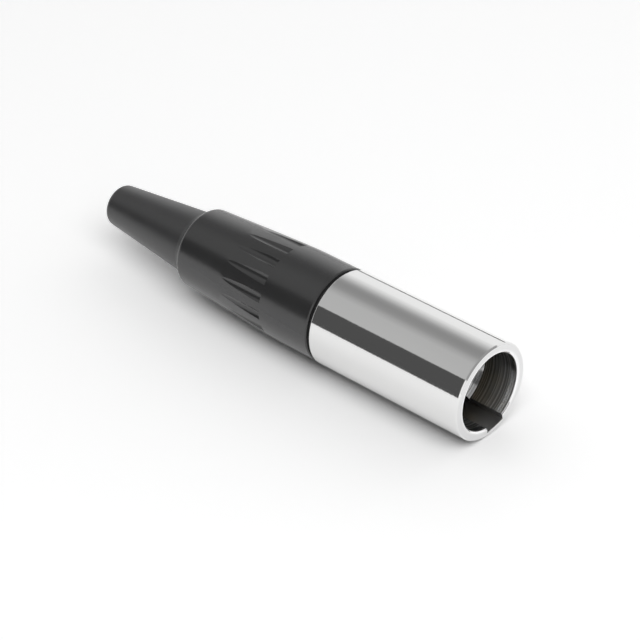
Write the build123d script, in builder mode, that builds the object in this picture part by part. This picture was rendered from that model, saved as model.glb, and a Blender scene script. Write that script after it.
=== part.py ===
from build123d import *
import os
from math import cos, radians, sin

# Mini XLR cable plug, male half, standing on its mouth. Sizes are in millimetres.
# The axis is Z and the mouth is at 0, so a height is a distance from the mouth towards the cable.
# Front means the side towards the mouth, and rear the side towards the cable.
# An angle round the axis is measured from +X towards +Y.

# Barrel
barrel_diameter = 10.0
barrel_length = 18.45
mouth_wall = 0.975
rear_wall = 0.6
rim_outer_chamfer = 0.15
rim_inner_chamfer = 0.12
rear_edge_chamfer = 0.12
recess_lip = 0.35
recess_depth = 0.6
latch_groove_count = 2
latch_groove_setback = 3.9
latch_groove_length = 0.5
latch_groove_land = 0.06
latch_groove_depth = 0.3
keyway_width = 2.3
keyway_wall = 0.52
keyway_runout = 0.3
keyway_angle = 78.0

# Thread that draws the boot nut into the barrel
thread_pitch = 0.75
thread_turns = 5
thread_depth = 0.26
last_engagement = 0.1

# Insulator
nose_length = 2.2
flange_thickness = 1.6
boss_length = 1.6
nose_clearance = 0.055
flange_clearance = 0.06
key_clearance = 0.1
insulator_chamfer = 0.15
spigot_gap = 0.8

# Contact pins
pin_count = 3
pin_diameter = 1.0
pin_dome = 0.25
pin_reach = 5.5
pin_clearance = 0.01
pin_lead = 60.0
cup_diameter = 1.5
cup_margin = 0.1
cup_seat_depth = 1.5
cup_stickout = 2.2
cup_bore_diameter = 1.05
cup_bore_depth = 2.0
cup_window_length = 1.4

# Ground tag
tag_thickness = 0.3
tag_width = 1.6
tag_front_length = 1.3
tag_clearance = 0.02
tag_inset = 0.1
tag_tab_length = 3.4
tag_bend_radius = 0.25

# Chuck
chuck_wall = 0.64
chuck_bore_clearance = 0.15
chuck_ring_length = 4.3
chuck_straight_length = 6.3
chuck_cone_length = 6.5
chuck_cone_drop = 0.54
chuck_clearance = 0.1
chuck_slot_count = 4
chuck_slot_width = 0.8
jaw_wall = 0.55
tooth_count = 2
tooth_pitch = 1.8
tooth_depth = 0.3
prong_width = 1.4
prong_thickness = 0.55
prong_inset = 0.04
prong_depth = 0.8
prong_clearance = 0.05

# Boot nut
junction_gap = 0.4
boot_step = 0.06
boot_length = 18.6
boot_taper_setback = 5.95
boot_taper_drop = 0.72
boot_crown_radius = 70.0
boot_shoulder_radius = 0.65
boot_edge_chamfer = 0.12
spigot_wall = 0.59
spigot_clearance = 0.05
collar_length = 0.85
collar_clearance = 0.05
pilot_length = 0.6
pilot_chamfer = 0.15
cone_clearance = 0.06
inner_lip = 0.36
inner_wall_thickness = 1.9
flute_count = 16
flute_angle = 18.1
flute_setback = 6.25
flute_length = 5.5
flute_depth = 0.3
flute_cutter_radius = 0.7

# Flex tail
tail_length = 12.3
tail_end_diameter = 4.4
tail_end_round = 0.6
tail_base_overhang = 0.11
tail_collar_overhang = 0.35
tail_collar_length = 0.27
tail_collar_chamfer = 0.1
tail_cove_length = 0.4
tail_lip = 0.88
sleeve_clearance = 0.05
bead_height = 0.29
bead_length = 1.3
bead_setback = 0.6
tail_bore_diameter = 4.4
cable_entry_diameter = 3.2
cable_entry_length = 8.0
face_clearance = 0.02

# Radii, worked out from the barrel's outside inwards
barrel_radius = barrel_diameter / 2
bore_radius = barrel_radius - mouth_wall
rear_bore_radius = barrel_radius - rear_wall
recess_radius = barrel_radius - recess_lip
keyway_floor = barrel_radius - keyway_wall
nose_radius = bore_radius - nose_clearance
flange_radius = rear_bore_radius - flange_clearance
pilot_radius = rear_bore_radius - spigot_clearance
collar_radius = recess_radius - collar_clearance
thread_root_radius = pilot_radius - thread_depth
spigot_bore_radius = thread_root_radius - spigot_wall
chuck_radius = spigot_bore_radius - cone_clearance
chuck_end_radius = chuck_radius - chuck_cone_drop
chuck_bore_radius = chuck_radius - chuck_wall
jaw_radius = chuck_end_radius - jaw_wall
boss_radius = chuck_bore_radius - chuck_bore_clearance
pin_radius = pin_diameter / 2
cup_radius = cup_diameter / 2
cup_bore_radius = cup_bore_diameter / 2
pin_circle_radius = boss_radius - cup_margin - cup_radius
boot_front_radius = barrel_radius - boot_step
boot_rear_radius = boot_front_radius - boot_taper_drop
pocket_radius = boot_rear_radius - tail_lip
sleeve_radius = pocket_radius - sleeve_clearance

# Heights along the axis, from the mouth to the cable
travel = thread_pitch * thread_turns
spigot_front = barrel_length - travel - last_engagement
flange_rear = spigot_front - spigot_gap
seat = flange_rear - flange_thickness
insulator_front = seat - nose_length
boss_rear = flange_rear + boss_length
chuck_front = flange_rear + tag_thickness + chuck_clearance
ring_rear = chuck_front + chuck_ring_length
chuck_cone_start = chuck_front + chuck_straight_length
chuck_rear = chuck_cone_start + chuck_cone_length
boot_front = barrel_length + junction_gap
boot_rear = boot_front + boot_length
tail_rear = boot_rear + tail_length


def section(angle, distance=0):
    """The upright half plane at an angle: local x runs outwards from a distance to the axis, y up."""
    outward = Vector(cos(radians(angle)), sin(radians(angle)), 0)
    return Plane(
        origin=outward * distance,
        x_dir=outward,
        z_dir=(sin(radians(angle)), -cos(radians(angle)), 0),
    )


def corner(profile, radius, height):
    """The profile's corner nearest to a point of the half plane."""
    return profile.vertices().sort_by_distance((radius, height, 0))[0]


# Barrel: a turned tube with two latch grooves in its bore and a keyway broached from the mouth.
grooves = []
for number in range(latch_groove_count):
    groove_front = latch_groove_setback + number * (latch_groove_length + latch_groove_land)
    grooves.append((bore_radius, groove_front))
    grooves.append((bore_radius + latch_groove_depth, groove_front))
    grooves.append((bore_radius, groove_front + latch_groove_length))
with BuildPart() as barrel:
    with BuildSketch(Plane.XZ):
        with BuildLine():
            Polyline(
                (barrel_radius - rim_outer_chamfer, 0),
                (bore_radius + rim_inner_chamfer, 0),
                (bore_radius, rim_inner_chamfer),
                *grooves,
                (bore_radius, seat),
                (rear_bore_radius, seat),
                (rear_bore_radius, barrel_length - recess_depth),
                (recess_radius, barrel_length - recess_depth),
                (recess_radius, barrel_length),
                (barrel_radius - rear_edge_chamfer, barrel_length),
                (barrel_radius, barrel_length - rear_edge_chamfer),
                (barrel_radius, rim_outer_chamfer),
                close=True,
            )
        make_face()
    revolve(axis=Axis.Z)
    with BuildSketch(Plane.XY):
        with PolarLocations(keyway_floor, 1, start_angle=keyway_angle):
            Rectangle(keyway_floor, keyway_width, align=(Align.MAX, Align.CENTER))
    extrude(amount=seat + keyway_runout, mode=Mode.SUBTRACT)
barrel.part.label = "barrel"

# Insulator: a nose in the bore, a flange against the barrel's seat, and a boss round the cups.
pin_angle = keyway_angle + pin_lead
cup_front = flange_rear - cup_seat_depth
prong_outer = chuck_radius - prong_inset
prong_inner = prong_outer - prong_thickness
tag_outer = flange_radius
tag_inner = tag_outer - tag_thickness
tab_outer = boss_radius - tag_inset
tab_inner = tab_outer - tag_thickness
with BuildPart() as insulator:
    with BuildSketch(Plane.XZ):
        with BuildLine():
            Polyline(
                (0, insulator_front),
                (nose_radius - insulator_chamfer, insulator_front),
                (nose_radius, insulator_front + insulator_chamfer),
                (nose_radius, seat),
                (flange_radius, seat),
                (flange_radius, flange_rear),
                (boss_radius, flange_rear),
                (boss_radius, boss_rear),
                (0, boss_rear),
                close=True,
            )
        make_face()
    revolve(axis=Axis.Z)
    # The key that stops the insulator turning stands in the barrel's keyway.
    with BuildSketch(Plane.XY.offset(insulator_front)):
        with PolarLocations(flange_radius, 1, start_angle=keyway_angle):
            Rectangle(
                flange_radius - nose_radius / 2,
                keyway_width - 2 * key_clearance,
                align=(Align.MAX, Align.CENTER),
            )
        with Locations((0, 0)):
            Circle(flange_radius, mode=Mode.INTERSECT)
    extrude(amount=nose_length)
    # Each pin has a close hole, wider from the rear for its cup.
    with BuildSketch(Plane.XY.offset(insulator_front)):
        with PolarLocations(pin_circle_radius, pin_count, start_angle=pin_angle):
            Circle(pin_radius + pin_clearance)
    extrude(amount=cup_front - insulator_front, mode=Mode.SUBTRACT)
    with BuildSketch(Plane.XY.offset(cup_front)):
        with PolarLocations(pin_circle_radius, pin_count, start_angle=pin_angle):
            Circle(cup_radius + pin_clearance)
    extrude(amount=boss_rear - cup_front, mode=Mode.SUBTRACT)
    # Two slots take the chuck's prongs.
    with BuildSketch(Plane.XY.offset(flange_rear - prong_depth)):
        with PolarLocations(prong_inner - prong_clearance, 2, start_angle=keyway_angle + 90):
            Rectangle(
                prong_thickness + 2 * prong_clearance,
                prong_width + 2 * prong_clearance,
                align=(Align.MIN, Align.CENTER),
            )
    extrude(amount=prong_depth, mode=Mode.SUBTRACT)
    # The ground tag lies in a slot along the flange and another along the boss.
    with BuildSketch(section(keyway_angle)):
        with BuildLine():
            Polyline(
                (tag_inner - tag_clearance, seat),
                (barrel_radius, seat),
                (barrel_radius, boss_rear),
                (tab_inner - tag_clearance, boss_rear),
                (tab_inner - tag_clearance, flange_rear),
                (tag_inner - tag_clearance, flange_rear),
                close=True,
            )
        make_face()
    extrude(amount=tag_width / 2 + tag_clearance, both=True, mode=Mode.SUBTRACT)
insulator.part.label = "insulator"

# Contact pins: a dome-ended pin, a thicker shank held in the insulator, and an open solder cup.
tip = insulator_front - pin_reach
dome_radius = (pin_radius**2 + pin_dome**2) / (2 * pin_dome)
shank_front = cup_front + pin_clearance
cup_rear = boss_rear + cup_stickout
cup_floor = cup_rear - cup_bore_depth
pins = []
for number in range(pin_count):
    angle = pin_angle + number * 360 / pin_count
    profile_plane = section(angle, pin_circle_radius)
    with BuildPart() as pin:
        with BuildSketch(profile_plane):
            with BuildLine():
                nose = RadiusArc((0, tip), (pin_radius, tip + pin_dome), -dome_radius)
                Polyline(
                    nose @ 1,
                    (pin_radius, shank_front),
                    (cup_radius, shank_front),
                    (cup_radius, cup_rear),
                    (cup_bore_radius, cup_rear),
                    (cup_bore_radius, cup_floor),
                    (0, cup_floor),
                    nose @ 0,
                )
            make_face()
        revolve(axis=Axis(profile_plane.origin, (0, 0, 1)))
        # The cup is open on its outer side, where the wire is laid in.
        with BuildSketch(Plane.XY.offset(cup_rear - cup_window_length)):
            with PolarLocations(pin_circle_radius, 1, start_angle=angle):
                Rectangle(cup_diameter, cup_diameter, align=(Align.MIN, Align.CENTER))
        extrude(amount=cup_window_length, mode=Mode.SUBTRACT)
    pin.part.label = f"pin_{number + 1}"
    pins.append(pin)

# Ground tag: a bent strip along the flange's edge, over its rear face and back as a solder tab.
tag_rear = flange_rear + tag_thickness
tab_rear = tag_rear + tag_tab_length
with BuildPart() as ground_tag:
    with BuildSketch(section(keyway_angle)) as tag_profile:
        with BuildLine():
            Polyline(
                (tag_inner, flange_rear - tag_front_length),
                (tag_outer, flange_rear - tag_front_length),
                (tag_outer, tag_rear),
                (tab_outer, tag_rear),
                (tab_outer, tab_rear),
                (tab_inner, tab_rear),
                (tab_inner, flange_rear),
                (tag_inner, flange_rear),
                close=True,
            )
        make_face()
        fillet(corner(tag_profile, tag_outer, tag_rear), tag_bend_radius)
        fillet(corner(tag_profile, tab_inner, flange_rear), tag_bend_radius)
    extrude(amount=tag_width / 2, both=True)
    # The strip's outer corners stay inside the barrel's bore.
    with BuildSketch(Plane.XY):
        Circle(flange_radius)
    extrude(amount=tab_rear, mode=Mode.INTERSECT)
ground_tag.part.label = "ground_tag"

# Chuck: a ring with two prongs in front and slotted fingers behind, toothed where they grip.
teeth = []
for number in range(tooth_count):
    tooth_rear = chuck_rear - number * tooth_pitch
    teeth.append((jaw_radius, tooth_rear))
    teeth.append((jaw_radius + tooth_depth, tooth_rear - tooth_pitch))
with BuildPart() as chuck:
    with BuildSketch(Plane.XZ):
        with BuildLine():
            Polyline(
                (chuck_bore_radius, chuck_front),
                (chuck_radius, chuck_front),
                (chuck_radius, chuck_cone_start),
                (chuck_end_radius, chuck_rear),
                *teeth,
                (jaw_radius + tooth_depth, ring_rear + tooth_pitch),
                (chuck_bore_radius, ring_rear),
                close=True,
            )
        make_face()
    revolve(axis=Axis.Z)
    with BuildSketch(Plane.XY.offset(ring_rear)):
        with PolarLocations(0, chuck_slot_count, start_angle=keyway_angle + 45):
            Rectangle(chuck_radius * 2, chuck_slot_width, align=(Align.MIN, Align.CENTER))
    extrude(amount=chuck_rear - ring_rear, mode=Mode.SUBTRACT)
    with BuildSketch(Plane.XY.offset(flange_rear - prong_depth + prong_clearance)):
        with PolarLocations(prong_inner, 2, start_angle=keyway_angle + 90):
            Rectangle(prong_thickness, prong_width, align=(Align.MIN, Align.CENTER))
    extrude(amount=chuck_front - flange_rear + prong_depth - prong_clearance)
chuck.part.label = "chuck"

# Boot nut: a spigot in the barrel's rear bore, an outside that tapers to a rounded shoulder,
# a cone that closes the chuck, and a pocket that the flex tail snaps into.
thread_front = spigot_front + pilot_length
collar_front = boot_front - collar_length
taper_start = boot_front + boot_taper_setback
cone_end_radius = chuck_end_radius + cone_clearance
inner_wall_radius = cone_end_radius - inner_lip
inner_wall_front = chuck_rear + cone_clearance
pocket_front = inner_wall_front + inner_wall_thickness
tail_front = pocket_front + 2 * sleeve_clearance
bead_front = tail_front + bead_setback
bead_rear = bead_front + bead_length
bead_radius = sleeve_radius + bead_height
with BuildPart() as boot_nut:
    with BuildSketch(Plane.XZ) as boot_profile:
        with BuildLine():
            Polyline(
                (spigot_bore_radius, spigot_front),
                (pilot_radius - pilot_chamfer, spigot_front),
                (pilot_radius, spigot_front + pilot_chamfer),
                (pilot_radius, thread_front),
                (thread_root_radius, thread_front + thread_depth),
                (thread_root_radius, collar_front),
                (collar_radius, collar_front),
                (collar_radius, boot_front),
                (boot_front_radius - boot_edge_chamfer, boot_front),
                (boot_front_radius, boot_front + boot_edge_chamfer),
                (boot_front_radius, taper_start),
                (boot_rear_radius, boot_rear),
                (pocket_radius, boot_rear),
                (pocket_radius, bead_rear + sleeve_clearance),
                (bead_radius + sleeve_clearance, bead_rear + sleeve_clearance),
                (bead_radius + sleeve_clearance, bead_front - sleeve_clearance),
                (pocket_radius, bead_front - sleeve_clearance),
                (pocket_radius, pocket_front),
                (inner_wall_radius, pocket_front),
                (inner_wall_radius, inner_wall_front),
                (cone_end_radius, inner_wall_front),
                (cone_end_radius, chuck_rear),
                (spigot_bore_radius, chuck_cone_start),
                close=True,
            )
        make_face()
        fillet(corner(boot_profile, boot_front_radius, taper_start), boot_crown_radius)
        fillet(corner(boot_profile, boot_rear_radius, boot_rear), boot_shoulder_radius)
    revolve(axis=Axis.Z)
    # A round cutter starts at the flute's front end and runs out where the taper falls to its floor.
    flute_front = boot_front + flute_setback
    flute_rear = flute_front + flute_length
    taper = (boot_front_radius - boot_rear_radius) / (boot_rear - taper_start)
    flute_fall = taper * (flute_rear - taper_start)
    flute_rise = flute_depth - flute_fall
    cutter_radius_out = boot_front_radius - flute_depth + flute_cutter_radius
    for number in range(flute_count):
        around = flute_angle + number * 360 / flute_count
        outward = Vector(cos(radians(around)), sin(radians(around)), 0)
        along = Vector(0, 0, flute_length) + outward * flute_rise
        start = Vector(0, 0, flute_front) + outward * cutter_radius_out
        with BuildSketch(Plane(origin=start, x_dir=outward.cross(along), z_dir=along)):
            Circle(flute_cutter_radius)
        extrude(amount=flute_length * 1.2, mode=Mode.SUBTRACT)
boot_nut.part.label = "boot_nut"

# Flex tail: a sleeve with a snap bead inside the nut, a thin collar and the tapering relief.
collar_rear = boot_rear + tail_collar_length
tail_base_radius = sleeve_radius + tail_base_overhang
tail_collar_radius = sleeve_radius + tail_collar_overhang
tail_end_radius = tail_end_diameter / 2
tail_bore_radius = tail_bore_diameter / 2
entry_radius = cable_entry_diameter / 2
entry_front = tail_rear - cable_entry_length
with BuildPart() as flex_tail:
    with BuildSketch(Plane.XZ) as tail_profile:
        with BuildLine():
            Polyline(
                (tail_bore_radius, tail_front),
                (sleeve_radius, tail_front),
                (sleeve_radius, bead_front),
                (bead_radius, bead_front + bead_height),
                (bead_radius, bead_rear),
                (sleeve_radius, bead_rear),
                (sleeve_radius, boot_rear + face_clearance),
                (tail_collar_radius, boot_rear + face_clearance),
                (tail_collar_radius, collar_rear - tail_collar_chamfer),
                (tail_collar_radius - tail_collar_chamfer, collar_rear),
                (tail_base_radius + tail_collar_chamfer, collar_rear),
                (tail_base_radius, collar_rear + tail_cove_length),
                (tail_end_radius, tail_rear),
                (entry_radius, tail_rear),
                (entry_radius, entry_front),
                (tail_bore_radius, entry_front - entry_radius),
                close=True,
            )
        make_face()
        fillet(corner(tail_profile, tail_end_radius, tail_rear), tail_end_round)
    revolve(axis=Axis.Z)
flex_tail.part.label = "flex_tail"

os.makedirs("parts", exist_ok=True)
export_step(barrel.part, "parts/barrel.step")
export_step(insulator.part, "parts/insulator.step")
for number, pin in enumerate(pins):
    export_step(pin.part, f"parts/pin_{number + 1}.step")
export_step(ground_tag.part, "parts/ground_tag.step")
export_step(chuck.part, "parts/chuck.step")
export_step(boot_nut.part, "parts/boot_nut.step")
export_step(flex_tail.part, "parts/flex_tail.step")
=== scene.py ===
"""Dresses the mini XLR plug: its finishes, the boot nut's thread, and the table, light and camera.

The model stands on its mouth, with the cable's end up. The plug was photographed lying on a
table, so the table, the cards, the lamp and the camera are laid out as they were round the lying
plug, and then turned to it by TURNED.
"""

import math

import bmesh
import bpy
from bpy.props import FloatProperty, FloatVectorProperty, IntProperty, PointerProperty
from mathutils import Matrix, Vector


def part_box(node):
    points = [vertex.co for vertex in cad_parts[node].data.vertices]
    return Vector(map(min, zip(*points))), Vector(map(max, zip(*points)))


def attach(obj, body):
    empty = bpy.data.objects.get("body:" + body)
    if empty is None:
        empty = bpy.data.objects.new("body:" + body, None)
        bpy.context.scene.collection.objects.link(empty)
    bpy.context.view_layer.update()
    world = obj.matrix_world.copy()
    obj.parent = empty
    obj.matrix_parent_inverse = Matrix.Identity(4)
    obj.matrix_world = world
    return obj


bl_info = {
    "name": "Mini XLR plug",
    "version": (1, 0, 0),
    "blender": (4, 5, 0),
    "location": "View3D > Sidebar > Plug",
    "description": "Finishes, thread, table and light for a mini XLR cable plug",
    "category": "Object",
}

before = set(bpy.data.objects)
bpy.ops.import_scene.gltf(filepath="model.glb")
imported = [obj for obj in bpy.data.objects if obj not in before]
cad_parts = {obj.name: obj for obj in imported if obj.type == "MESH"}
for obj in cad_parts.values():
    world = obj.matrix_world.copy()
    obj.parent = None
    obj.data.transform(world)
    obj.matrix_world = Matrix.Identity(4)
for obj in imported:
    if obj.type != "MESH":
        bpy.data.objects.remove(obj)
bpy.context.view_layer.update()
MM = 0.001

# Where the barrel's finish, its painted shade and its painted highlight change, in millimetres from
# its axis.
BORE_RADIUS = 4.05
CHAMFER_RADIUS = 4.24
GROOVE_RADIUS = 4.36
FACE_RADIUS = 4.36
INSIDE_RADIUS = 4.7

# Where the barrel's finish, its painted shade and its painted highlight change, in millimetres from
# its mouth.
FACE_HEIGHT = 0.02
INSIDE_HEIGHT = 0.06
CHAMFER_HEIGHT = 0.14
LIP_START = 0.3
LIP_END = 0.75
GROOVES_START = 3.89
GROOVES_END = 5.03

# How far from the barrel's rear end the plating starts to roll in, in millimetres.
REAR_EDGE = 0.14

# Refractive index of the black mouldings' gloss.
MOULDING_IOR = 1.68

# Places round the lying plug are counted from the middle of its mouth: +X points out of the mouth,
# +Y away from the camera and +Z up. These rows say where the standing plug's X, Y and Z lie in that.
TURNED = Matrix(((0, 1, 0), (0, 0, -1), (-1, 0, 0))).to_4x4()

# The camera's place round the lying plug.
CAMERA_STAND = Vector((107.606, -141.585, 128.799)) * MM

# The table's reach each way, in metres, and its gap under the plug.
TABLE_REACH = 1.5
TABLE_GAP = 0.02 * MM

# How white the table is to the light that falls on it, and to a piece that mirrors it. A share of
# what is mirrored is an even glow, which the plug's shadow doesn't darken.
TABLE_WHITE = 0.35
MIRRORED_WHITE = 1.395
MIRRORED_GLOW = 1.05
GLOW_SHARE = 0.2

# The front card, in metres: from end to end, and how far off it stands. From the plug, its lower
# and upper edges are seen at these angles, in degrees.
FRONT_ENDS = (-1.5, 0.6)
FRONT_AWAY = 0.5
FRONT_ANGLES = (-0.6, 41.6)

# The two cards overhead, in metres: their height, their reach to the front and to the rear, and
# the ends of each.
OVERHEAD = 0.6
TO_FRONT = 0.68
TO_REAR = 1.22
CEILING_ENDS = (-2.0, 0.25)
FAR_ENDS = (0.25, 1.6)

# Greys of the ceiling card, each with its place from the card's front edge to its rear one.
CEILING_GREYS = (
    (0.0, 0.56),
    (0.3, 0.535),
    (0.36, 0.44),
    (0.4, 0.355),
    (0.444, 0.32),
    (0.493, 0.312),
    (0.55, 0.37),
    (0.626, 0.565),
    (0.733, 0.80),
    (0.914, 0.99),
)

# The strip that lies behind the plug, in metres: its ends, its sides and its gap over the table.
STRIP_ENDS = (-0.8, -0.03)
STRIP_SIDES = (0.065, 0.165)
STRIP_GAP = 0.12 * MM


class Value:
    """A number or colour that varies over a surface. Arithmetic on it adds Math nodes."""

    def __init__(self, finish, socket):
        self.finish = finish
        self.socket = socket

    def maths(self, operation, *terms):
        return self.finish.add("ShaderNodeMath", {"operation": operation}, dict(enumerate(terms)))

    def __add__(self, other):
        return self.maths("ADD", self, other)

    __radd__ = __add__

    def __sub__(self, other):
        return self.maths("SUBTRACT", self, other)

    def __rsub__(self, other):
        return self.maths("SUBTRACT", other, self)

    def __mul__(self, other):
        return self.maths("MULTIPLY", self, other)

    __rmul__ = __mul__

    def __truediv__(self, other):
        return self.maths("DIVIDE", self, other)

    def __lt__(self, other):
        return self.maths("LESS_THAN", self, other)

    def __gt__(self, other):
        return self.maths("GREATER_THAN", self, other)


class Finish:
    """A node tree in the making: a material's, or the world's."""

    def __init__(self, owner):
        owner.use_nodes = True
        self.owner = owner
        self.tree = owner.node_tree
        self.tree.nodes.clear()

    def add(self, kind, settings=None, sockets=None, output=0):
        """Adds one node: its settings first, then the values or links of its sockets."""
        node = self.tree.nodes.new(kind)
        for name, value in (settings or {}).items():
            if name == "stops":
                self.set_stops(node.color_ramp, value)
            else:
                setattr(node, name, value)
        for name, value in (sockets or {}).items():
            if isinstance(value, Value):
                self.tree.links.new(value.socket, node.inputs[name])
            else:
                node.inputs[name].default_value = value
        return None if output is None else Value(self, node.outputs[output])

    def set_stops(self, ramp, stops):
        """Gives a ramp its stops: pairs of a place and a grey."""
        while len(ramp.elements) < len(stops):
            ramp.elements.new(1.0)
        for element, (place, level) in zip(ramp.elements, stops):
            element.position = place
            element.color = grey(level)

    def place(self):
        """The point on the piece, in millimetres."""
        point = self.add("ShaderNodeTexCoord", output="Object")
        return self.add("ShaderNodeVectorMath", {"operation": "SCALE"}, {0: point, "Scale": 1 / MM})

    def stretched(self, place, scale):
        """The point with each axis scaled, so that a pattern is finer along it."""
        return self.add("ShaderNodeVectorMath", {"operation": "MULTIPLY"}, {0: place, 1: scale})

    def noise(self, place, per_mm, detail=2.0, roughness=0.5):
        """Soft noise round one half, with that many blotches to a millimetre."""
        settings = {"noise_dimensions": "3D"}
        sockets = {"Vector": place, "Scale": per_mm, "Detail": detail, "Roughness": roughness}
        return self.add("ShaderNodeTexNoise", settings, sockets)

    def turned_lines(self, place, per_mm, detail):
        """Lathe lines: noise that changes with height along a wall, and with radius on a face."""
        settings = {"noise_dimensions": "1D"}
        sockets = {"W": self.radius(place) + self.height(place), "Scale": per_mm, "Detail": detail}
        return self.add("ShaderNodeTexNoise", settings, sockets)

    def radius(self, place):
        """Distance of the point from the axis."""
        level = self.stretched(place, (1, 1, 0))
        return self.add("ShaderNodeVectorMath", {"operation": "LENGTH"}, {0: level}, "Value")

    def height(self, place):
        """Height of the point along the axis."""
        return self.add("ShaderNodeSeparateXYZ", sockets={0: place}, output="Z")

    def blend(self, factor, first, second):
        """One colour where the factor is 0, the other where it is 1."""
        # A Mix node takes colours at inputs 6 and 7 and gives one at output 2.
        sockets = {0: factor, 6: first, 7: second}
        return self.add("ShaderNodeMix", {"data_type": "RGBA"}, sockets, 2)

    def bump(self, height, depth_mm):
        """A normal from a height between 0 and 1, where 1 stands that far out."""
        return self.add("ShaderNodeBump", sockets={"Distance": depth_mm * MM, "Height": height})

    def surface(self, **sockets):
        """The finished surface, with names such as Base_Color for its sockets."""
        named = {name.replace("_", " "): value for name, value in sockets.items()}
        shader = self.add("ShaderNodeBsdfPrincipled", sockets=named)
        self.output(shader)
        return self.owner

    def output(self, shader):
        """Makes a shader the tree's result."""
        of_world = isinstance(self.owner, bpy.types.World)
        kind = "ShaderNodeOutputWorld" if of_world else "ShaderNodeOutputMaterial"
        self.add(kind, sockets={"Surface": shader}, output=None)


def new_finish(name):
    """A new material, still empty."""
    return Finish(bpy.data.materials.new(name))


def dress(node, material):
    """Gives a CAD node its finish."""
    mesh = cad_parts[node].data
    mesh.materials.clear()
    mesh.materials.append(material)


def opaque(colour):
    """A colour with full alpha, as sockets take it."""
    return (*colour, 1.0)


def grey(level):
    """A grey, as sockets take it."""
    return opaque((level, level, level))


def shaded(colour, share):
    """A colour made darker or lighter: that share of it."""
    return opaque(part * share for part in colour)


class PlatingLook(bpy.types.PropertyGroup):
    """Finish of the barrel"""

    colour: FloatVectorProperty(
        name="Plating",
        description="Colour of the barrel's bright plating",
        subtype="COLOR",
        default=(0.80, 0.80, 0.795),
    )
    roughness: FloatProperty(
        name="Roughness",
        description="Roughness of clean plating",
        subtype="FACTOR",
        min=0,
        max=1,
        default=0.05,
    )
    ripple: FloatProperty(
        name="Ripple",
        description="Height of the unevenness under the plating, in millimetres",
        default=0.0016,
        precision=4,
    )


class MouldingLook(bpy.types.PropertyGroup):
    """Colours of the moulded pieces"""

    boot: FloatVectorProperty(
        name="Boot",
        description="Colour of the hard boot nut",
        subtype="COLOR",
        default=(0.032, 0.032, 0.0325),
    )
    tail: FloatVectorProperty(
        name="Tail",
        description="Colour of the soft tail",
        subtype="COLOR",
        default=(0.033, 0.033, 0.034),
    )
    insulator: FloatVectorProperty(
        name="Insulator",
        description="Colour of the insulator",
        subtype="COLOR",
        default=(0.018, 0.018, 0.018),
    )
    chuck: FloatVectorProperty(
        name="Chuck",
        description="Colour of the chuck",
        subtype="COLOR",
        default=(0.66, 0.64, 0.57),
    )


class ContactLook(bpy.types.PropertyGroup):
    """Colours of the contacts"""

    gold: FloatVectorProperty(
        name="Gold",
        description="Colour of the pins",
        subtype="COLOR",
        default=(0.89, 0.69, 0.36),
    )
    tin: FloatVectorProperty(
        name="Tin",
        description="Colour of the ground tag",
        subtype="COLOR",
        default=(0.68, 0.67, 0.64),
    )


class ThreadSizes(bpy.types.PropertyGroup):
    """Sizes of the thread on the boot nut's spigot"""

    pitch: FloatProperty(
        name="Pitch",
        description="Rise of the boot's thread in one turn",
        unit="LENGTH",
        default=0.75 * MM,
    )
    root: FloatProperty(
        name="Root",
        description="Radius that the thread stands on",
        unit="LENGTH",
        default=4.09 * MM,
    )
    crest: FloatProperty(
        name="Crest",
        description="Radius of the thread's crest",
        unit="LENGTH",
        default=4.33 * MM,
    )
    start: FloatProperty(
        name="Start",
        description="Height where the thread starts",
        unit="LENGTH",
        default=15.6 * MM,
    )
    turns: FloatProperty(name="Turns", description="Turns of thread on the spigot", default=2.5)
    steps: IntProperty(name="Steps", description="Sections in one turn", default=48)


class StageLook(bpy.types.PropertyGroup):
    """The camera's view, the table's look and the light"""

    azimuth: FloatProperty(
        name="Azimuth",
        description="Camera's turn round the lying plug",
        unit="ROTATION",
        default=math.radians(42.35),
    )
    elevation: FloatProperty(
        name="Elevation",
        description="Camera's angle above the table",
        unit="ROTATION",
        default=math.radians(34.26),
    )
    lens: FloatProperty(name="Lens", description="Focal length in millimetres", default=132.64)
    table: FloatProperty(
        name="Table",
        description="How light the table is as the camera sees it",
        default=1.375,
    )
    lamp: FloatProperty(name="Lamp", description="Power of the soft box, in watts", default=1.9)
    daylight: FloatProperty(
        name="Daylight",
        description="Strength of the even light on the plug",
        default=0.8,
    )


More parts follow.
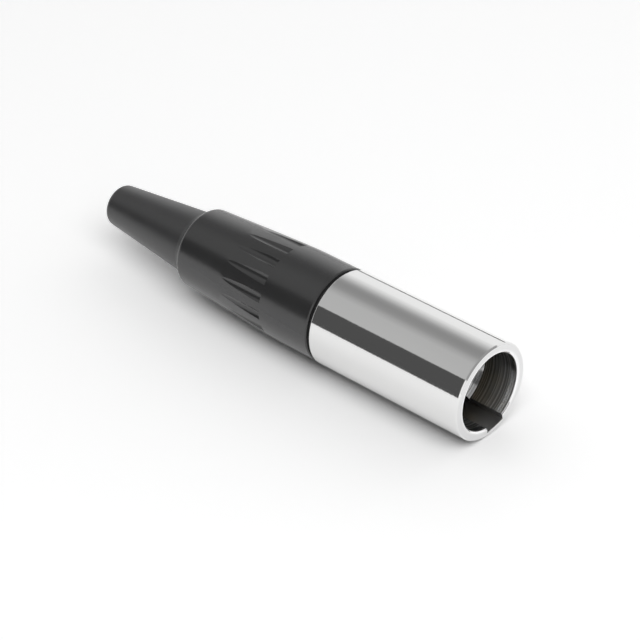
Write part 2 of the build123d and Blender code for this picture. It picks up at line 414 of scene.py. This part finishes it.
class PLUG_OT_plate_barrel(bpy.types.Operator):
    """Bright plating over a turned barrel, with lathe lines and painted shade in the bore, and a
    painted highlight on its inner chamfer
    """

    bl_idname = "plug.plate_barrel"
    bl_label = "Plate the barrel"

    def execute(self, context):
        look = context.scene.plug_plating
        finish = new_finish("bright_plating")
        place = finish.place()
        radius = finish.radius(place)
        height = finish.height(place)
        fine_lines = finish.turned_lines(place, per_mm=9.0, detail=4.0)
        coarse_lines = finish.turned_lines(place, per_mm=5.0, detail=1.0)
        ripple = finish.noise(place, per_mm=3.0, detail=3.0)
        drawn_out = finish.stretched(place, (0.5, 0.5, 0.16))
        smear = finish.noise(drawn_out, per_mm=1.0, detail=3.0)

        # Each zone is 1 where the barrel has it and 0 elsewhere.
        inside = (radius < INSIDE_RADIUS) * (height > INSIDE_HEIGHT)
        deep_in = inside * (height > GROOVES_START) * (height < GROOVES_END)
        grooves = deep_in * (radius < GROOVE_RADIUS)
        wall = inside - grooves
        chamfer = (radius < CHAMFER_RADIUS) * (height < CHAMFER_HEIGHT)
        face = (radius > FACE_RADIUS) * (height < FACE_HEIGHT)
        bore = radius < BORE_RADIUS
        lip = bore * (height > LIP_START) * (height < LIP_END)

        # The wall is rougher than the plating and painted darker, as painted shade inside the barrel.
        # In the bore it has lathe lines, and on its lip near the mouth it is painted about as bright
        # as the plating. In the keyway the painted shade deepens further in.
        bore_shade_and_lines = bore * (coarse_lines - 0.42) * 2.3 + 0.8 * lip
        keyway_shade = (1 - bore) * (0.45 - 0.15 * height)
        shaded_wall = finish.blend(bore_shade_and_lines + keyway_shade, grey(0.3), grey(0.8))
        lined = finish.blend((coarse_lines - 0.45) * 4 + 0.5, grey(0.5), grey(1.0))
        tint = finish.blend(smear, shaded(look.colour, 0.955), opaque(look.colour))
        tint = finish.blend(grooves, tint, lined)
        tint = finish.blend(wall, tint, shaded_wall)
        tint = finish.blend(face, tint, grey(0.74))
        # The inner chamfer is painted near white, brighter than the plating: a painted highlight.
        tint = finish.blend(chamfer, tint, grey(0.97))

        roughness = look.roughness + 0.05 * (smear - 0.5) + 0.04 * fine_lines
        uneven = look.ripple * (0.8 * ripple + 0.2 * fine_lines)
        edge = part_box("barrel")[1].z / MM - REAR_EDGE
        rolled_in = 0.6 * (height > edge) * (height - edge)
        material = finish.surface(
            Base_Color=tint,
            Metallic=1.0,
            Roughness=roughness + 0.3 * wall - 0.12 * lip + 0.08 * grooves,
            Normal=finish.bump(uneven - rolled_in, depth_mm=1.0),
        )
        dress("barrel", material)
        return {"FINISHED"}


class PLUG_OT_mould_boot(bpy.types.Operator):
    """Satin black moulding of the boot nut, with a fine spark grain"""

    bl_idname = "plug.mould_boot"
    bl_label = "Mould the boot nut"

    def execute(self, context):
        look = context.scene.plug_moulding
        finish = new_finish("satin_black_moulding")
        place = finish.place()
        grain = finish.noise(place, per_mm=14.0, detail=3.0, roughness=0.6)
        flow = finish.noise(finish.stretched(place, (0.45, 0.45, 0.12)), per_mm=1.0, detail=2.0)
        material = finish.surface(
            Base_Color=finish.blend(flow, shaded(look.boot, 0.85), shaded(look.boot, 1.15)),
            Roughness=0.19 + 0.05 * flow + 0.04 * grain,
            IOR=MOULDING_IOR,
            Normal=finish.bump(grain, depth_mm=0.004),
        )
        dress("boot_nut", material)
        return {"FINISHED"}


class PLUG_OT_mould_tail(bpy.types.Operator):
    """Dull soft moulding of the flex tail"""

    bl_idname = "plug.mould_tail"
    bl_label = "Mould the flex tail"

    def execute(self, context):
        look = context.scene.plug_moulding
        finish = new_finish("soft_black_moulding")
        place = finish.place()
        grain = finish.noise(place, per_mm=10.0, detail=4.0, roughness=0.65)
        bloom = finish.noise(place, per_mm=0.5, detail=2.0)
        material = finish.surface(
            Base_Color=finish.blend(bloom, shaded(look.tail, 0.85), shaded(look.tail, 1.2)),
            Roughness=0.33 + 0.1 * bloom,
            IOR=MOULDING_IOR,
            Normal=finish.bump(grain, depth_mm=0.008),
        )
        dress("flex_tail", material)
        return {"FINISHED"}


class PLUG_OT_finish_inside(bpy.types.Operator):
    """Finishes of what the barrel holds: insulator, gold pins, tinned ground tag and chuck"""

    bl_idname = "plug.finish_inside"
    bl_label = "Finish the inside"

    def execute(self, context):
        mouldings = context.scene.plug_moulding
        contacts = context.scene.plug_contacts
        dress("insulator", self.plain_moulding("insulator_moulding", mouldings.insulator, 0.4))
        dress("chuck", self.plain_moulding("chuck_moulding", mouldings.chuck, 0.45))
        gold = self.plated("gold_flash", contacts.gold, 0.16, per_mm=20.0)
        for node in ("pin_1", "pin_2", "pin_3"):
            dress(node, gold)
        dress("ground_tag", self.plated("tinned_strip", contacts.tin, 0.3, per_mm=6.0))
        return {"FINISHED"}

    def plain_moulding(self, name, colour, roughness):
        """A moulded plastic with a slightly cloudy colour and a fine grain."""
        finish = new_finish(name)
        place = finish.place()
        cloud = finish.noise(place, per_mm=0.9, detail=2.0)
        grain = finish.noise(place, per_mm=16.0, detail=2.0)
        return finish.surface(
            Base_Color=finish.blend(cloud, shaded(colour, 0.88), opaque(colour)),
            Roughness=roughness + 0.1 * cloud,
            Normal=finish.bump(grain, depth_mm=0.003),
        )

    def plated(self, name, colour, roughness, per_mm):
        """A thin metal coat over turned or rolled metal, with that many lines to a millimetre."""
        finish = new_finish(name)
        place = finish.place()
        wear = finish.noise(place, per_mm=2.0, detail=3.0)
        lines = finish.noise(finish.stretched(place, (0.2, 0.2, 1)), per_mm, detail=3.0)
        return finish.surface(
            Base_Color=finish.blend(wear, shaded(colour, 0.9), opaque(colour)),
            Metallic=1.0,
            Roughness=roughness + 0.12 * wear,
            Normal=finish.bump(lines, depth_mm=0.002),
        )


class PLUG_OT_cut_thread(bpy.types.Operator):
    """The boot nut's thread, a ridge wound round its spigot"""

    bl_idname = "plug.cut_thread"
    bl_label = "Cut the boot's thread"

    def execute(self, context):
        sizes = context.scene.plug_thread
        half_foot = 0.30 * sizes.pitch
        half_land = 0.07 * sizes.pitch
        foot_radius = sizes.root - 0.04 * MM
        outline = [
            (foot_radius, sizes.start - half_foot),
            (sizes.crest, sizes.start - half_land),
            (sizes.crest, sizes.start + half_land),
            (foot_radius, sizes.start + half_foot),
        ]
        ridge = bmesh.new()
        corners = [ridge.verts.new((radius, 0, height)) for radius, height in outline]
        section = ridge.faces.new(corners)
        bmesh.ops.spin(
            ridge,
            geom=[section, *section.edges, *section.verts],
            axis=(0, 0, 1),
            cent=(0, 0, 0),
            dvec=(0, 0, sizes.pitch / sizes.steps),
            angle=math.tau * sizes.turns,
            steps=round(sizes.turns * sizes.steps),
        )
        self.run_out(ridge, sizes)
        bmesh.ops.remove_doubles(ridge, verts=ridge.verts, dist=0.001 * MM)
        bmesh.ops.recalc_face_normals(ridge, faces=ridge.faces)
        mesh = bpy.data.meshes.new("boot_thread")
        ridge.to_mesh(mesh)
        ridge.free()
        mesh.materials.append(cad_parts["boot_nut"].data.materials[0])
        thread = bpy.data.objects.new("boot_thread", mesh)
        context.scene.collection.objects.link(thread)
        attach(thread, "boot")
        return {"FINISHED"}

    def run_out(self, ridge, sizes):
        """Lets the crest sink into the spigot over the first and last quarter turn."""
        low = sizes.start
        high = sizes.start + sizes.pitch * sizes.turns
        fade = sizes.pitch / 4
        sunk_radius = sizes.root - 0.03 * MM
        for vert in ridge.verts:
            radius = vert.co.xy.length
            left = min(vert.co.z - low, high - vert.co.z)
            if radius > sizes.root and left < fade:
                target = sunk_radius + (radius - sizes.root) * max(left, 0) / fade
                vert.co.xy *= target / radius


class PLUG_OT_set_stage(bpy.types.Operator):
    """The table, the cards that shape the reflections, the light and the camera"""

    bl_idname = "plug.set_stage"
    bl_label = "Set the stage"

    def execute(self, context):
        scene = context.scene
        look = scene.plug_stage
        scene.view_settings.view_transform = "Standard"
        self.light_world(scene, look)
        self.lay_table(scene, look)
        self.hang_cards(scene)
        self.hang_lamp(scene, look)
        self.place_camera(scene, look)
        return {"FINISHED"}

    def light_world(self, scene, look):
        """White to the camera and in reflections, and even daylight on the plug."""
        world = Finish(bpy.data.worlds.new("studio"))
        scene.world = world.owner
        seen, mirrored = self.rays(world)
        strength = look.daylight + (1 - look.daylight) * (seen + mirrored)
        sockets = {"Color": grey(1.0), "Strength": strength}
        world.output(world.add("ShaderNodeBackground", sockets=sockets))

    def rays(self, finish):
        """1 for the camera's own rays, and 1 for those that a piece mirrors or lets through."""
        seen = finish.add("ShaderNodeLightPath", output="Is Camera Ray")
        glossy = finish.add("ShaderNodeLightPath", output="Is Glossy Ray")
        through = finish.add("ShaderNodeLightPath", output="Is Transmission Ray")
        # A ray that has met a matt surface doesn't count.
        straight = finish.add("ShaderNodeLightPath", output="Diffuse Depth") < 0.5
        return seen, (glossy + through > 0.5) * straight

    def table_height(self):
        """Height of the table's top against the lying plug's axis."""
        return -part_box("barrel")[1].x - TABLE_GAP

    def lay_table(self, scene, look):
        """The table under the lying plug. From behind it is clear, so other views see the plug."""
        table = new_finish("white_table")
        seen, mirrored = self.rays(table)
        white = TABLE_WHITE + (look.table - TABLE_WHITE) * seen
        white = white + (MIRRORED_WHITE - TABLE_WHITE) * mirrored
        colour = table.add("ShaderNodeCombineColor", sockets={0: white, 1: white, 2: white})
        matt = table.add("ShaderNodeBsdfDiffuse", sockets={"Color": colour})
        glow = table.add("ShaderNodeEmission", sockets={"Color": grey(MIRRORED_GLOW)})
        sockets = {0: GLOW_SHARE * mirrored, 1: matt, 2: glow}
        top = table.add("ShaderNodeMixShader", sockets=sockets)
        clear = table.add("ShaderNodeBsdfTransparent")
        behind = table.add("ShaderNodeNewGeometry", output="Backfacing")
        table.output(table.add("ShaderNodeMixShader", sockets={0: behind, 1: top, 2: clear}))
        reach = (-TABLE_REACH, TABLE_REACH)
        self.flat(scene, "table", reach, reach, self.table_height(), table.owner)

    def hang_cards(self, scene):
        """Cards in front, overhead and behind, which the camera itself doesn't see."""
        dark = self.plain_card("dark_card", 0.09)
        pale = self.plain_card("grey_card", 0.38)
        graded = self.graded_card("ceiling_card")
        low_and_high = [FRONT_AWAY * math.tan(math.radians(angle)) for angle in FRONT_ANGLES]
        front = self.flat(scene, "front_card", FRONT_ENDS, low_and_high, 0, dark)
        stood_up = Matrix.Rotation(math.radians(90), 4, "X")
        moved_off = Matrix.Translation((0, -FRONT_AWAY, 0))
        front.data.transform(TURNED @ moved_off @ stood_up @ TURNED.inverted())
        sides = (-TO_FRONT, TO_REAR)
        ceiling = self.flat(scene, "ceiling", CEILING_ENDS, sides, OVERHEAD, graded)
        far = self.flat(scene, "far_card", FAR_ENDS, sides, OVERHEAD, pale)
        up = self.table_height() + STRIP_GAP
        strip = self.flat(scene, "rear_strip", STRIP_ENDS, STRIP_SIDES, up, dark)
        for card in (front, ceiling, far, strip):
            card.visible_camera = False
            card.visible_transmission = False
        # The strip is so near the table that it would darken it, so only reflections see it.
        strip.visible_diffuse = False
        strip.visible_shadow = False

    def plain_card(self, name, level):
        """A card of one grey."""
        card = new_finish(name)
        card.output(card.add("ShaderNodeEmission", sockets={"Color": grey(level)}))
        return card.owner

    def graded_card(self, name):
        """A card with the ceiling's greys, one after another from its front edge."""
        card = new_finish(name)
        point = card.add("ShaderNodeTexCoord", output="Object")
        # The standing plug's X is the lying plug's Y.
        along = card.add("ShaderNodeSeparateXYZ", sockets={0: point}, output="X")
        share = (along + TO_FRONT) / (TO_FRONT + TO_REAR)
        shade = card.add("ShaderNodeValToRGB", {"stops": CEILING_GREYS}, {0: share})
        card.output(card.add("ShaderNodeEmission", sockets={"Color": shade}))
        return card.owner

    def hang_lamp(self, scene, look):
        """A soft box over the plug, leaning forward and past its mouth. No reflection shows it."""
        data = bpy.data.lights.new("soft_box", "AREA")
        data.shape = "RECTANGLE"
        data.size = 0.6
        data.size_y = 0.45
        data.energy = look.lamp
        lamp = bpy.data.objects.new("soft_box", data)
        scene.collection.objects.link(lamp)
        forward = Matrix.Rotation(math.radians(18), 4, "X")
        past_mouth = Matrix.Rotation(math.radians(25), 4, "Y")
        distance = Matrix.Translation((0, 0, 0.6))
        lamp.matrix_world = TURNED @ past_mouth @ forward @ distance
        lamp.visible_camera = False
        lamp.visible_glossy = False

    def flat(self, scene, name, ends, sides, up, material):
        """A level sheet by the lying plug, its ends along it and its sides across, turned with it."""
        sheet = bmesh.new()
        bmesh.ops.create_grid(sheet, x_segments=1, y_segments=1, size=0.5)
        size = Vector((ends[1] - ends[0], sides[1] - sides[0], 1))
        middle = Vector((sum(ends) / 2, sum(sides) / 2, up))
        bmesh.ops.scale(sheet, vec=size, verts=sheet.verts)
        bmesh.ops.translate(sheet, vec=middle, verts=sheet.verts)
        bmesh.ops.transform(sheet, matrix=TURNED, verts=sheet.verts)
        mesh = bpy.data.meshes.new(name)
        sheet.to_mesh(mesh)
        sheet.free()
        mesh.materials.append(material)
        item = bpy.data.objects.new(name, mesh)
        scene.collection.objects.link(item)
        return item

    def place_camera(self, scene, look):
        """The photograph's view: the camera's place and aim round the lying plug."""
        camera = bpy.data.objects.new("camera", bpy.data.cameras.new("camera"))
        scene.collection.objects.link(camera)
        scene.camera = camera
        camera.data.sensor_width = 36
        camera.data.lens = look.lens
        turn = Matrix.Rotation(look.azimuth, 4, "Z")
        tilt = Matrix.Rotation(math.pi / 2 - look.elevation, 4, "X")
        camera.matrix_world = TURNED @ Matrix.Translation(CAMERA_STAND) @ turn @ tilt
        camera.data.clip_start = 0.01
        camera.data.clip_end = 10


class PLUG_PT_sidebar(bpy.types.Panel):
    """Lists the steps that dress the plug"""

    bl_label = "Mini XLR plug"
    bl_idname = "PLUG_PT_sidebar"
    bl_space_type = "VIEW_3D"
    bl_region_type = "UI"
    bl_category = "Plug"

    def draw(self, context):
        for name, owner in GROUPS.items():
            box = self.layout.box()
            for prop in owner.bl_rna.properties:
                if prop.identifier not in {"rna_type", "name"}:
                    box.prop(getattr(context.scene, name), prop.identifier)
        for step in STEPS:
            self.layout.operator(step.bl_idname)


GROUPS = {
    "plug_plating": PlatingLook,
    "plug_moulding": MouldingLook,
    "plug_contacts": ContactLook,
    "plug_thread": ThreadSizes,
    "plug_stage": StageLook,
}
STEPS = (
    PLUG_OT_plate_barrel,
    PLUG_OT_mould_boot,
    PLUG_OT_mould_tail,
    PLUG_OT_finish_inside,
    PLUG_OT_cut_thread,
    PLUG_OT_set_stage,
)


def register():
    for cls in (*GROUPS.values(), *STEPS, PLUG_PT_sidebar):
        bpy.utils.register_class(cls)
    for name, group in GROUPS.items():
        setattr(bpy.types.Scene, name, PointerProperty(type=group))


def unregister():
    for name in GROUPS:
        delattr(bpy.types.Scene, name)
    for cls in (PLUG_PT_sidebar, *reversed(STEPS), *reversed(GROUPS.values())):
        bpy.utils.unregister_class(cls)


def main():
    register()
    bpy.ops.plug.plate_barrel()
    bpy.ops.plug.mould_boot()
    bpy.ops.plug.mould_tail()
    bpy.ops.plug.finish_inside()
    bpy.ops.plug.cut_thread()
    bpy.ops.plug.set_stage()


if __name__ == "__main__":
    main()
